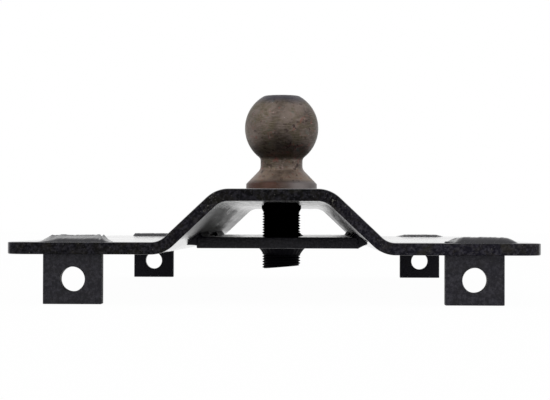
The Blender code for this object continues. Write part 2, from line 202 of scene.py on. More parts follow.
def add_surface(name, points, closed_rows=False, caps=(None, None), sharp=38.0):
    """A closed mesh from a grid of points in millimetres, points[row, column].

    Columns wrap round. Rows wrap with closed_rows, and otherwise each end is closed by its cap: "fan" joins
    the end row to its middle point, and "ladder" joins the row's first half to its second half. The volume
    under the faces, a sum of triple products, says which way they point: a negative one turns them round.
    """
    rows, columns = points.shape[:2]
    verts = points.reshape(-1, 3) * MM
    row = np.arange(rows if closed_rows else rows - 1)[:, None] * columns
    below = (row + columns) % (rows * columns)
    column = np.arange(columns)[None, :]
    following = (column + 1) % columns
    quads = np.stack([row + column, row + following, below + following, below + column], -1).reshape(-1, 4)
    faces = quads.tolist()
    for first, cap in zip((True, False), caps):
        start = 0 if first else (rows - 1) * columns
        if cap == "fan":
            middle = verts[start : start + columns].mean(0)
            verts = np.vstack([verts, middle])
            here = start + column[0]
            after = start + following[0]
            if first:
                here, after = after, here
            fan = np.stack([np.full(columns, len(verts) - 1), here, after], -1)
            faces += fan.tolist()
        if cap == "ladder":
            k = np.arange(columns // 2 - 1)
            rungs = start + np.stack([k, k + 1, columns - 2 - k, columns - 1 - k], -1)
            faces += (rungs[:, ::-1] if first else rungs).tolist()
    corners = verts[quads]
    volume = np.einsum("ij,ij->i", corners[:, 0], np.cross(corners[:, 1], corners[:, 2])).sum()
    volume += np.einsum("ij,ij->i", corners[:, 0], np.cross(corners[:, 2], corners[:, 3])).sum()
    if volume < 0.0:
        faces = [face[::-1] for face in faces]
    mesh = bpy.data.meshes.new(name)
    mesh.from_pydata(verts.tolist(), [], faces)
    mesh.validate()
    mesh.shade_smooth()
    mesh.set_sharp_from_angle(angle=math.radians(sharp))
    obj = bpy.data.objects.new(name, mesh)
    bpy.context.scene.collection.objects.link(obj)
    return obj


def joined(*parts):
    """Numbers and arrays one after the other in a single array."""
    return np.concatenate([np.atleast_1d(part) for part in parts])


def smooth_step(low, high, value):
    """0 below low, 1 above high, and a cubic ramp between them."""
    share = np.clip((value - low) / (high - low), 0.0, 1.0)
    return share * share * (3.0 - 2.0 * share)


def unevenness(value, seed, waves=5, longest=23.0):
    """A smooth uneven line from about -1 to 1: sines of ever shorter waves, with phases from the seed."""
    generator = np.random.default_rng(seed)
    total = np.zeros_like(np.asarray(value, float))
    for wave in range(waves):
        length = longest / 1.7**wave
        total = total + np.sin(2.0 * np.pi * value / length + generator.uniform(0.0, 6.28)) / 1.35**wave
    return total / 2.2


def rounding(edge, steps=4):
    """Inset and height above the arc's centre on a quarter circle, from the upright side to the flat face."""
    angle = np.linspace(0.0, np.pi / 2.0, steps)
    return edge * (1.0 - np.cos(angle)), edge * np.sin(angle)


# Bent plate


def plate_line(distance):
    """Middle line of the bent plate at a distance from the hat's middle, and its upward direction.

    Flat crown, an arc down, the straight slope, an arc back and the flat wing, mirrored for a negative
    distance.
    """
    slope_length = (CROWN_TOP - WING_TOP - 2.0 * BEND * (1.0 - math.cos(SLOPE))) / math.sin(SLOPE)
    ends = np.cumsum([CROWN_FLAT, BEND * SLOPE, slope_length, BEND * SLOPE])
    side = np.where(distance < 0.0, -1.0, 1.0)
    along = np.abs(distance)
    down = np.clip((along - ends[0]) / BEND, 0.0, SLOPE)
    back = np.clip((along - ends[2]) / BEND, 0.0, SLOPE)
    straight = np.clip(along - ends[1], 0.0, slope_length)
    x = np.minimum(along, ends[0]) + BEND * np.sin(down) + straight * math.cos(SLOPE)
    x = x + BEND * (math.sin(SLOPE) - np.sin(SLOPE - back)) + np.maximum(along - ends[3], 0.0)
    z = CROWN_TOP - THICKNESS / 2.0 - BEND * (1.0 - np.cos(down)) - straight * math.sin(SLOPE)
    z = z - BEND * (np.cos(SLOPE - back) - math.cos(SLOPE))
    heading = back - down
    return side * x, z, -side * np.sin(heading), np.cos(heading), ends


def build_plate():
    """The bent plate as a thick sheet: its outline is a rounded rectangle in the plate before it was bent.

    Each point has a distance along the bent line, a place along Y and a height over the middle line, which
    falls off near the outline: as a quarter circle below, and above as a quarter ellipse, the shear's
    roll-over. The upper and the lower side make one loop round every column.
    """
    ends = plate_line(np.zeros(1))[4]
    foot_x = CROWN_FLAT + 2.0 * BEND * math.sin(SLOPE) + (ends[2] - ends[1]) * math.cos(SLOPE)
    half = ends[3] + PLATE_HALF_WIDTH - foot_x
    insets = rounding(CUT_EDGE, 5)[0][::-1]
    turn = np.linspace(0.0, np.pi / 2.0, 12)[:-1]
    right = joined(
        np.linspace(0.0, ends[0], 5)[:-1],
        np.linspace(ends[0], ends[1], 13)[:-1],
        np.linspace(ends[1], ends[2], 6)[:-1],
        np.linspace(ends[2], ends[3], 13)[:-1],
        np.linspace(ends[3], half - PLAN_CORNER, 14)[:-1],
        half - PLAN_CORNER + (PLAN_CORNER - 1.6) * np.sin(turn),
        half - insets,
    )
    across = joined(-right[:0:-1], right)
    reach = PLATE_HALF_LENGTH - PLAN_CORNER
    over = np.clip(np.abs(across) - (half - PLAN_CORNER), 0.0, PLAN_CORNER)
    limit = reach + np.sqrt(PLAN_CORNER**2 - over**2)
    share = joined(np.linspace(0.0, 0.94, 28), 0.96, 0.975, 0.985)
    margins = joined(ROLL_DEPTH, 2.8, 2.2, 1.7, 1.25, insets)
    rows = [limit * s for s in share] + [limit - margin for margin in margins]
    length = np.array([-row for row in rows[:0:-1]] + rows)

    over_side = np.abs(across)[None, :] - (half - PLAN_CORNER) + 0.0 * length
    corner = np.stack([over_side, np.abs(length) - reach])
    outside = np.hypot(*np.maximum(corner, 0.0)) + np.minimum(corner.max(0), 0.0)
    inset = np.maximum(PLAN_CORNER - outside, 0.0)
    rise = [np.sqrt(1.0 - (1.0 - np.minimum(inset / depth, 1.0)) ** 2) for depth in (ROLL_DEPTH, CUT_EDGE)]
    above = THICKNESS / 2.0 - ROLL_DROP * (1.0 - rise[0])
    below = THICKNESS / 2.0 - CUT_EDGE * (1.0 - rise[1])

    x, z, up_x, up_z, _ = plate_line(across)
    upper = np.stack([x + up_x * above, length, z + up_z * above], -1)
    lower = np.stack([x - up_x * below, length, z - up_z * below], -1)
    loop = np.concatenate([upper, lower[::-1]]).transpose(1, 0, 2)
    return add_surface("bent_plate", loop, caps=("ladder", "ladder"), sharp=50.0)


# Flat bars


def rounded_outline(low, high, radius, step):
    """Points and outward directions round a rectangle with rounded corners, given by two opposite corners."""
    points, directions = [], []
    centres = [
        (high[0] - radius, high[1] - radius),
        (low[0] + radius, high[1] - radius),
        (low[0] + radius, low[1] + radius),
        (high[0] - radius, low[1] + radius),
    ]
    for quarter, centre in enumerate(centres):
        angle = np.linspace(quarter, quarter + 1.0, 6) * np.pi / 2.0
        way = np.stack([np.cos(angle), np.sin(angle)], -1)
        here = np.array(centre) + radius * way
        following = np.array(centres[(quarter + 1) % 4]) + radius * way[-1]
        count = max(2, round(np.hypot(*(following - here[-1])) / step))
        share = np.linspace(0.0, 1.0, count + 1)[1:-1, None]
        points += [here, here[-1] + share * (following - here[-1])]
        directions += [way, np.repeat(way[-1:], count - 1, 0)]
    return np.concatenate(points), np.concatenate(directions)


def bar_section(outline, directions, hole, hole_radius, thickness, edge):
    """Points of a flat bar with a round hole, as (a, b, height over the middle), one row per station.

    Rays from the hole's middle meet the outline. The section runs up the hole's wall, over its rounded edge,
    along the face to the outline, over that edge, and back below, so the rows close on themselves.
    """
    middle = np.array(hole)
    ray = outline - middle
    ray = ray / np.linalg.norm(ray, axis=1, keepdims=True)
    inset, rise = rounding(edge)
    levels = [np.full(len(ray), height) for height in thickness / 2.0 - edge + rise]
    upper = [np.column_stack([middle + (hole_radius + i) * ray, level]) for i, level in zip(inset, levels)]
    brink = [np.column_stack([outline - i * directions, level]) for i, level in zip(inset, levels)]
    inner = upper[-1]
    upper += [inner + (brink[-1] - inner) * share for share in (0.12, 0.35, 0.65, 0.88)]
    upper += brink[::-1]
    lower = [row * np.array([1.0, 1.0, -1.0]) for row in upper[::-1]]
    return np.array(upper + lower)


def build_legs():
    """Four upright bars with a pin hole each: the bar's plane is X and Z, and its thickness runs along Y."""
    low = (-LEG_WIDTH / 2.0, 0.0)
    high = (LEG_WIDTH / 2.0, LEG_HEIGHT)
    outline, directions = rounded_outline(low, high, LEG_CORNER, 2.4)
    shape = bar_section(outline, directions, (0.0, PIN_HEIGHT), PIN_RADIUS, LEG_THICKNESS, LEG_EDGE)
    across, height, depth = shape[..., 0], shape[..., 1], shape[..., 2]
    legs = []
    for row, outward in ROWS.items():
        for side, sign in SIDES.items():
            points = np.stack([across + sign * LEG_X, depth + outward * LEG_Y, height], -1)
            leg = add_surface(f"flat_leg_{row}_{side}", points, closed_rows=True)
            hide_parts(f"leg_{row}_{side}")
            legs.append(leg)
    return legs


def build_cross_plate():
    """The flat plate under the crown, with the hole that the shank passes through."""
    low = (-CROSS_HALF_WIDTH, -CROSS_HALF_LENGTH)
    high = (CROSS_HALF_WIDTH, CROSS_HALF_LENGTH)
    outline, directions = rounded_outline(low, high, CROSS_CORNER, 6.0)
    hole_radius = THREAD_CREST + SEAT_GAP
    points = bar_section(outline, directions, (0.0, 0.0), hole_radius, CROSS_THICKNESS, CROSS_EDGE)
    points[..., 2] += CROSS_UNDERSIDE + CROSS_THICKNESS / 2.0
    return add_surface("lower_plate", points, closed_rows=True)


# Ball and shank


def turned(name, profile, count=144):
    """A profile of radius and height carried round Z: x = r cos a, y = r sin a."""
    angle = np.linspace(0.0, 2.0 * np.pi, count, endpoint=False)[None, :]
    radius, height = profile[:, :1], profile[:, 1:]
    points = np.stack([radius * np.cos(angle), radius * np.sin(angle), height + 0.0 * angle], -1)
    return add_surface(name, points, caps=("fan", "fan"))


def arc(centre, radius, start, end, steps):
    """Points of a circle's arc in the plane of a profile, from one angle to another."""
    angle = np.linspace(start, end, steps)
    return np.stack([centre[0] + radius * np.cos(angle), centre[1] + radius * np.sin(angle)], -1)


def build_ball():
    """Ball with its flat, neck, cone and flange, and the plain stub that enters the crown."""
    rim = FLAT_RADIUS + FLAT_EDGE
    flat_height = math.sqrt(BALL_RADIUS**2 - rim**2)
    top = BALL_HEIGHT + flat_height + FLAT_EDGE / 2.0
    start = math.atan2(flat_height, rim)
    blend_x = NECK_RADIUS + NECK_BLEND
    blend_drop = math.sqrt((BALL_RADIUS + NECK_BLEND) ** 2 - blend_x**2)
    end = -math.atan2(blend_drop, blend_x)
    blend = (blend_x, BALL_HEIGHT - blend_drop)
    side_top = SEAT + FLANGE_SIDE
    cone_foot = (FLANGE_RADIUS - FLANGE_CHAMFER, side_top + FLANGE_CHAMFER)
    cone_top = cone_foot[1] + (cone_foot[0] - NECK_RADIUS) / math.tan(CONE)
    fillet = (NECK_RADIUS + NECK_FILLET, cone_top + NECK_FILLET * math.tan(CONE / 2.0))
    profile = np.concatenate(
        [
            [(3.0, top), (8.0, top), (FLAT_RADIUS - FLAT_EDGE, top)],
            [(FLAT_RADIUS - 0.25, top - 0.05), (FLAT_RADIUS + 0.2, top - 0.22)],
            arc((0.0, BALL_HEIGHT), BALL_RADIUS, start, end, 64),
            arc(blend, NECK_BLEND, math.pi + end, math.pi, 9)[1:],
            arc(fillet, NECK_FILLET, math.pi, math.pi + CONE, 9),
            [cone_foot, (FLANGE_RADIUS - 0.3, side_top + 0.25), (FLANGE_RADIUS, side_top - 0.3)],
            [(FLANGE_RADIUS, SEAT + 0.5), (FLANGE_RADIUS - 0.5, SEAT)],
            [(SHANK_RADIUS, SEAT), (SHANK_RADIUS, CROWN_TOP - 4.0)],
        ]
    )
    return turned("turned_ball", profile)


def build_shank():
    """The shank below the flange, with its thread and the askew saw cut.

    Its radius is that of the thread's groove plus a rounded triangle wave of the height over the pitch less
    the turn round the shank, which winds the crest into a helix. The wave fades in where the shank tapers
    under the crown.
    """
    angle = np.linspace(0.0, 2.0 * np.pi, 120, endpoint=False)[None, :]
    share = np.linspace(0.0, 1.0, 300)[:, None]
    bottom = SHANK_END + THREAD_CREST * np.cos(angle) * SHANK_SLANT
    height = SHANK_TOP + (bottom - SHANK_TOP) * share
    phase = (height / THREAD_PITCH - angle / (2.0 * np.pi)) % 1.0
    wave = 1.0 - np.abs(2.0 * phase - 1.0) * 2.0
    crest = 0.5 + 0.5 * np.clip(THREAD_GAIN * wave, -1.0, 1.0)
    thread = THREAD_ROOT + (THREAD_CREST - THREAD_ROOT) * crest
    fall = TAPER_TOP - height
    plain = SHANK_RADIUS + (THREAD_ROOT + 0.35 - SHANK_RADIUS) * smooth_step(0.0, TAPER, fall)
    cut = smooth_step(TAPER - 0.4, TAPER + 0.6, fall)
    radius = plain + (thread - plain) * cut
    radius = radius - 0.5 * smooth_step(0.6, 0.0, height - bottom)
    body = np.stack([radius * np.cos(angle), radius * np.sin(angle), height], -1)
    inner = []
    for size in (0.93, 0.6, 0.2):
        x = size * THREAD_CREST * np.cos(angle[0])
        y = size * THREAD_CREST * np.sin(angle[0])
        inner.append(np.stack([x, y, SHANK_END + x * SHANK_SLANT], -1))
    points = np.concatenate([body, inner])
    return add_surface("threaded_shank", points, caps=("fan", "fan"), sharp=60.0)


# Welds


def leg_pad(name, leg_x, outward, crest, skyline, left, right, blend, seed):
    """The weld over a leg's end, as heights over the wing.

    The height is crest * skyline(x) * profile(y), with lumps and soft bowed ripples added. Skyline and
    profile are straight lines between their points. The profile changes from the left one to the right one
    over the range of X in blend.
    """
    skyline, left, right = (np.array(line) for line in (skyline, left, right))
    x = np.linspace(skyline[0, 0], skyline[-1, 0], 120)[:, None]
    level = np.interp(x, *skyline.T)
    weight = smooth_step(*blend, x)
    ends = left[[0, -1], 0] + (right[[0, -1], 0] - left[[0, -1], 0]) * weight
    y = ends[:, :1] + (ends[:, 1:] - ends[:, :1]) * np.linspace(0.0, 1.0, 46)
    shape = np.interp(y, *left.T) * (1.0 - weight) + np.interp(y, *right.T) * weight
    shape[:, 1:-1] = (shape[:, :-2] + 2.0 * shape[:, 1:-1] + shape[:, 2:]) / 4.0
    body = np.sqrt(shape * level)
    lumps = PAD_LUMP * unevenness(x + 0.6 * y, seed, longest=13.0)
    ripples = PAD_RIPPLE * np.cos(2.0 * np.pi * (x / UNDER_PITCH + 0.012 * y**2))
    height = crest * level * shape + (lumps + ripples) * body
    near = np.clip(np.minimum(x - x[0], x[-1] - x) / 6.0, 0.0, 1.0)
    toes = 1.0 + 0.03 * unevenness(x, seed + 1)
    y = y * (1.0 - 0.3 * (1.0 - near) ** 2) * np.minimum(toes, 1.04)
    y = np.hstack([y, y[:, -1:], y[:, :1]])
    height = np.hstack([height, np.full((len(x), 2), -PAD_DEPTH)])
    points = np.stack([leg_x + x + 0.0 * y, outward * (LEG_Y + y), WING_TOP + height], -1)
    return add_surface(name, points, caps=("fan", "fan"), sharp=70.0)


def straight_bead(name, start, end, section, pitch, seed, taper=3.0):
    """A weld run along a straight line, from its closed section of offsets.

    The section is scaled at each place along the run: by a quarter circle at both ends, by the ripples and
    by a slow unevenness.
    """
    start, end = np.array(start, float), np.array(end, float)
    length = np.linalg.norm(end - start)
    count = max(12, round(length / pitch * 5.0))
    share = joined(0.0, 0.08, 0.2, 0.4, 0.7) * taper / length
    place = joined(share, np.linspace(taper / length, 1.0 - taper / length, count), 1.0 - share[::-1])
    along = place * length
    near = np.clip(np.minimum(along, length - along) / taper, 0.0, 1.0)
    size = 0.25 + 0.75 * np.sqrt(1.0 - (1.0 - near) ** 2)
    size = size * (1.0 + 0.045 * np.cos(2.0 * np.pi * along / pitch) + 0.05 * unevenness(along, seed))
    points = start + (end - start) * place[:, None, None] + np.array(section)[None] * size[:, None, None]
    return add_surface(name, points, caps=("fan", "fan"), sharp=60.0)


def fillet_face(toe_a, toe_b, bulge, steps=8):
    """Offsets across a weld's face from one toe to the other, bowed outwards by the bulge as a parabola."""
    toe_a, toe_b = np.array(toe_a, float), np.array(toe_b, float)
    share = np.linspace(0.0, 1.0, steps)[:, None]
    straight = toe_a + (toe_b - toe_a) * share
    outward = (toe_a + toe_b) / np.linalg.norm(toe_a + toe_b)
    return straight + outward * bulge * 4.0 * share * (1.0 - share)


def slope_underside(height):
    """Distance from the hat's middle to the slope's underside at a height."""
    foot = CROWN_HALF + (CROWN_TOP - WING_TOP) / math.tan(SLOPE)
    return foot - (height - WING_TOP) / math.tan(SLOPE) - THICKNESS / math.sin(SLOPE)


def build_under_bead(place, sign, outward, seed):
    """The fillet run under the wing, along a leg's inner face."""
    face = fillet_face((0.0, -5.2 * outward, 0.2), (0.0, 0.2 * outward, -5.2), 0.35)
    section = np.vstack([[(0.0, 0.5 * outward, 0.5)], face])
    inner = outward * (LEG_Y - LEG_THICKNESS / 2.0)
    start = (sign * LEG_X - UNDER_HALF_LENGTH, inner, WING_UNDERSIDE)
    end = (sign * LEG_X + UNDER_HALF_LENGTH, inner, WING_UNDERSIDE)
    bead = straight_bead(f"fillet_{place}", start, end, section, UNDER_PITCH, seed)
    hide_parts(f"weld_leg_under_{place}")
    return bead


def build_cross_runs(place, side, outward, seed):
    """Two runs between cross plate and slope: one fills their groove, and a small one lies on top of it."""
    sign = SIDES[side]
    mirror = np.array([sign, 1.0, 1.0])
    root_x = slope_underside(CROSS_TOP) - SEAT_GAP
    start, end = ((sign * root_x, outward * y, CROSS_TOP) for y in CROSS_RUN_ENDS)

    inner_rise, outer_rise = CROSS_RISES[side]
    lower = CROSS_HALF_WIDTH - 0.5 - root_x
    outer = slope_underside(CROSS_UNDERSIDE + outer_rise) + 0.3 - root_x
    toes = (lower, 0.0, inner_rise - CROSS_THICKNESS), (outer, 0.0, outer_rise - CROSS_THICKNESS)
    face = fillet_face(*toes, -0.25)
    section = np.vstack([[(0.0, 0.0, -0.4), (lower, 0.0, -0.6)], face]) * mirror
    bead = straight_bead(f"groove_run_{place}", start, end, section, CROSS_PITCH, seed, taper=1.1)
    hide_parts(f"weld_cross_{place}")
    made = [bead]

    face = fillet_face((-5.0, 0.0, -0.2), (-2.7, 0.0, 3.2), 0.2)
    section = np.vstack([[(0.6, 0.0, -0.5)], face]) * mirror
    bead = straight_bead(f"upper_run_{place}", start, end, section, CROSS_PITCH, seed + 2)
    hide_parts(f"weld_cross_{place}")
    made.append(bead)
    return made


def build_welds():
    """At each leg its pad and the fillet under the wing, and beside it the runs of the cross plate."""
    made = []
    for row, outward in ROWS.items():
        for side, sign in SIDES.items():
            place = f"{row}_{side}"
            seed = PADS[place][-1]
            pad = leg_pad(f"pad_{place}", sign * LEG_X, outward, *PADS[place])
            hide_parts(f"weld_leg_top_{place}")
            made.append(pad)
            made.append(build_under_bead(place, sign, outward, seed + 3))
            made += build_cross_runs(place, side, outward, seed + 5)
    return made


def shank_run(section, angle, size, base, way):
    """Points of a run round the shank, from a section of offsets out of its surface and above a base height.

    The offsets that lead out of the joint, away from the shank and up or down by the sign of way, are scaled
    by the size at each angle. The others stay.
    """
    out, up = section[:, :1], section[:, 1:]
    radius = THREAD_CREST + np.where(out > 0.0, out * size, out)
    height = base + np.where(way * up > 0.0, up * size, up)
    return np.stack([radius * np.cos(angle), radius * np.sin(angle), height], -1)


def build_shank_runs():
    """The fillets round the shank: a ring under the cross plate, and a short run on top of it at the right.

    Their size follows ripples and unevenness and, for the ring, a lean that makes the right side larger.
    """
    angle = np.linspace(0.0, 2.0 * np.pi, 150, endpoint=False)
    size = 1.0 + 0.12 * np.cos(angle) + 0.05 * np.cos(angle * 27.0) + 0.07 * unevenness(angle * 16.0, 5)
    size[-1] = 0.5 * (size[-2] + size[0])
    section = np.vstack([[(-0.9, 0.35)], fillet_face((6.4, 0.35), (-0.6, -7.2), -0.9, 10)])
    points = shank_run(section, angle, size, CROSS_UNDERSIDE, -1.0)
    ring = add_surface("ring_run_lower", points, closed_rows=True, sharp=60.0)
    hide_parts("weld_shank_lower")

    turn = np.linspace(-UPPER_RUN_TURN, UPPER_RUN_TURN, 60)
    near = np.clip((UPPER_RUN_TURN - np.abs(turn)) * 15.5 / UPPER_RUN_TAPER, 0.0, 1.0)
    size = 0.3 + 0.7 * np.sqrt(1.0 - (1.0 - near) ** 2)
    size = size * (1.0 + 0.07 * np.cos(turn * 29.0) + 0.06 * unevenness(turn * 16.0, 9))
    section = np.vstack([[(-0.9, -0.2)], fillet_face((2.6, -0.2), (-0.4, 2.7), -0.15, 7)])
    points = shank_run(section, turn, size, CROSS_TOP, 1.0).transpose(1, 0, 2)
    run = add_surface("ring_run_upper", points, caps=("fan", "fan"), sharp=60.0)
    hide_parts("weld_shank_upper")
    return [ring, run]


# Materials


class Nodes:
    """Short calls for a node tree: add a node, set its inputs by name, and link sockets into it."""

    def __init__(self, tree):
        self.tree = tree

    def feed(self, socket, value):
        """Links a socket into an input, or sets the input to a value."""
        if isinstance(value, bpy.types.NodeSocket):
            self.tree.links.new(value, socket)
        else:
            socket.default_value = value

    def add(self, kind, inputs=None, **settings):
        node = self.tree.nodes.new(kind)
        for name, value in settings.items():
            setattr(node, name, value)
        for name, value in (inputs or {}).items():
            self.feed(node.inputs[name], value)
        return node

    def noise(self, place, scale, detail=3.0, roughness=0.55, distortion=0.0):
        inputs = {"Vector": place, "Scale": scale, "Detail": detail}
        inputs |= {"Roughness": roughness, "Distortion": distortion}
        return self.add("ShaderNodeTexNoise", inputs).outputs["Fac"]

    def ramp(self, value, low, high, out_low=0.0, out_high=1.0):
        inputs = {"Value": value, "From Min": low, "From Max": high, "To Min": out_low, "To Max": out_high}
        return self.add("ShaderNodeMapRange", inputs).outputs["Result"]

    def band(self, value, rise, fall):
        """1 between two edges, up over the first pair of values and down over the second."""
        return self.math("MULTIPLY", self.ramp(value, *rise), self.ramp(value, *fall))

    def math(self, operation, a, b=0.0):
        return self.add("ShaderNodeMath", {0: a, 1: b}, operation=operation).outputs[0]

    def mix(self, share, a, b):
        """One colour turned into another by a share. A colour is a socket or three numbers."""
        node = self.tree.nodes.new("ShaderNodeMix")
        node.data_type = "RGBA"
        self.feed(node.inputs[0], share)
        for index, value in ((6, a), (7, b)):
            self.feed(node.inputs[index], (*value, 1.0) if isinstance(value, tuple) else value)
        return node.outputs[2]

    def place(self, scale=(1.0, 1.0, 1.0)):
        coordinates = self.add("ShaderNodeTexCoord").outputs["Object"]
        return self.add("ShaderNodeMapping", {"Vector": coordinates, "Scale": scale}).outputs["Vector"]


def new_group(name, inputs, outputs):
    """A node group with number inputs and their first values, its nodes, and its two ends."""
    tree = bpy.data.node_groups.new(name, "ShaderNodeTree")
    for socket_name, value in inputs.items():
        socket = tree.interface.new_socket(socket_name, in_out="INPUT", socket_type="NodeSocketFloat")
        socket.default_value = value
    for socket_name, kind in outputs.items():
        tree.interface.new_socket(socket_name, in_out="OUTPUT", socket_type=kind)
    nodes = Nodes(tree)
    return tree, nodes, tree.nodes.new("NodeGroupInput"), tree.nodes.new("NodeGroupOutput")


def coat_group():
    """Baked powder coat: orange peel, grain and speckle, olive-brown mottling, dust flecks, duller slopes,
    painted shade towards the left, on the crown and over a whole surface, and painted highlights as light
    flecks on each upper bend.

    Heights and distances across are in metres, as the object's coordinates are.
    """
    tree, nodes, given, result = new_group(
        "powder coat",
        {
            "Speckle": 0.3,
            "Fineness": 900.0,
            "Lean": 0.0,
            "Depth": 0.0,
            "Dust": 1.0,
            "Mottle": 0.3,
            "Sheen": 0.36,
            "Slopes": 0.0,
        },
        {"Colour": "NodeSocketColor", "Roughness": "NodeSocketFloat", "Height": "NodeSocketFloat"},
    )
    place = nodes.place()
    parts = nodes.add("ShaderNodeSeparateXYZ", {"Vector": place})
    across, level = parts.outputs["X"], parts.outputs["Z"]
    aside = nodes.math("ABSOLUTE", across)
    peel = nodes.noise(place, 620.0, 2.0, 0.5)
    grain = nodes.noise(place, 1500.0, 2.0, 0.6)
    slow = nodes.noise(place, 26.0, 3.0, 0.55)

    # Painted shade darkens the coat towards the left and the crown, and painted highlights add light flecks
    # on each upper bend
    leftwards = nodes.ramp(across, -0.1, 0.12, 0.75, 0.0)
    upwards = nodes.ramp(level, 0.05, 0.066, 0.0, 0.9)
    left_crown_shade = nodes.math("MULTIPLY", nodes.math("MAXIMUM", leftwards, upwards), given.outputs["Lean"])
    unshaded_share = nodes.ramp(left_crown_shade, 0.0, 1.0, 1.0, 0.4)
    # The upper bend arcs, where painted highlight flecks are added to the dust
    bend_highlights = nodes.band(aside, (0.032, 0.038), (0.052, 0.045))
    bend_highlights = nodes.math("MULTIPLY", bend_highlights, nodes.ramp(level, 0.056, 0.062, 0.0, 0.09))
    bend_highlights = nodes.math("MULTIPLY", bend_highlights, given.outputs["Lean"])

    shade = nodes.mix(slow, COAT_DARK, COAT_LIGHT)
    shade = nodes.mix(nodes.ramp(peel, 0.35, 0.7, 0.0, 0.5), shade, COAT_PEEL)
    # Painted shade: the coat taken towards near-black on the left, on the crown, and over a whole surface by
    # its share
    shade = nodes.mix(nodes.math("MAXIMUM", left_crown_shade, given.outputs["Depth"]), shade, COAT_SHADOW)
    speckle = nodes.ramp(nodes.noise(place, given.outputs["Fineness"], 3.0, 0.7), 0.44, 0.64)
    speckle = nodes.math("MULTIPLY", speckle, given.outputs["Speckle"])
    shade = nodes.mix(nodes.math("MULTIPLY", speckle, unshaded_share), shade, COAT_SPECKLE)
    patches = nodes.ramp(nodes.noise(place, 150.0, 4.0, 0.62, 0.5), 0.46, 0.68)
    patches = nodes.math("MULTIPLY", patches, given.outputs["Mottle"])
    shade = nodes.mix(nodes.math("MULTIPLY", patches, unshaded_share), shade, COAT_OLIVE)
    # Light flecks: dust all over, and painted highlights added on each upper bend
    dust_and_highlights = nodes.ramp(nodes.math("ADD", nodes.noise(place, 1150.0, 1.0, 0.5), bend_highlights), 0.735, 0.80)
    colour = nodes.mix(nodes.math("MULTIPLY", dust_and_highlights, given.outputs["Dust"]), shade, COAT_DUST_AND_HIGHLIGHT)

    # The slopes are duller than the flat faces, in streaks along the plate
    streaks = nodes.noise(nodes.place((1.0, 0.05, 1.0)), 200.0, 2.0, 0.5)
    slopes = nodes.band(level, (0.0405, 0.046), (0.066, 0.061, 0.35, 1.0))
    slopes = nodes.math("MULTIPLY", slopes, nodes.ramp(level, 0.061, 0.046, 0.75, 1.0))
    slopes = nodes.math("MULTIPLY", slopes, nodes.ramp(streaks, 0.3, 0.7, 0.25, 0.39))
    slopes = nodes.math("MULTIPLY", slopes, given.outputs["Slopes"])
    sheen = nodes.math("ADD", given.outputs["Sheen"], nodes.ramp(slow, 0.3, 0.7, -0.03, 0.04))
    sheen = nodes.math("ADD", sheen, nodes.ramp(grain, 0.3, 0.7, -0.015, 0.03))
    sheen = nodes.math("ADD", sheen, slopes)

    nodes.feed(result.inputs["Colour"], colour)
    nodes.feed(result.inputs["Roughness"], sheen)
    nodes.feed(result.inputs["Height"], nodes.math("ADD", peel, nodes.math("MULTIPLY", grain, 0.55)))
    return tree


def coat_material(name, group, relief, specular, softer=0.0, **inputs):
    """Black powder coat over one kind of surface: its relief in metres, its gloss, and the group's inputs.

    The gloss of a satin coat sharpens at a glancing angle: softer is the roughness that it gains face on.
    """
    material = bpy.data.materials.new(name)
    material.use_nodes = True
    nodes = Nodes(material.node_tree)
    shader = material.node_tree.nodes["Principled BSDF"]
    coat = nodes.add("ShaderNodeGroup", inputs, node_tree=group)
    roughness = coat.outputs["Roughness"]
    if softer:
        facing = nodes.add("ShaderNodeLayerWeight", {"Blend": 0.5}).outputs["Facing"]
        roughness = nodes.math("ADD", roughness, nodes.ramp(facing, 0.70, 0.90, softer, 0.0))
    height = coat.outputs["Height"]
    bump = nodes.add("ShaderNodeBump", {"Height": height, "Strength": 1.0, "Distance": relief})
    nodes.feed(shader.inputs["Base Color"], coat.outputs["Colour"])
    nodes.feed(shader.inputs["Roughness"], roughness)
    nodes.feed(shader.inputs["Normal"], bump.outputs["Normal"])
    shader.inputs["Specular IOR Level"].default_value = specular
    return material


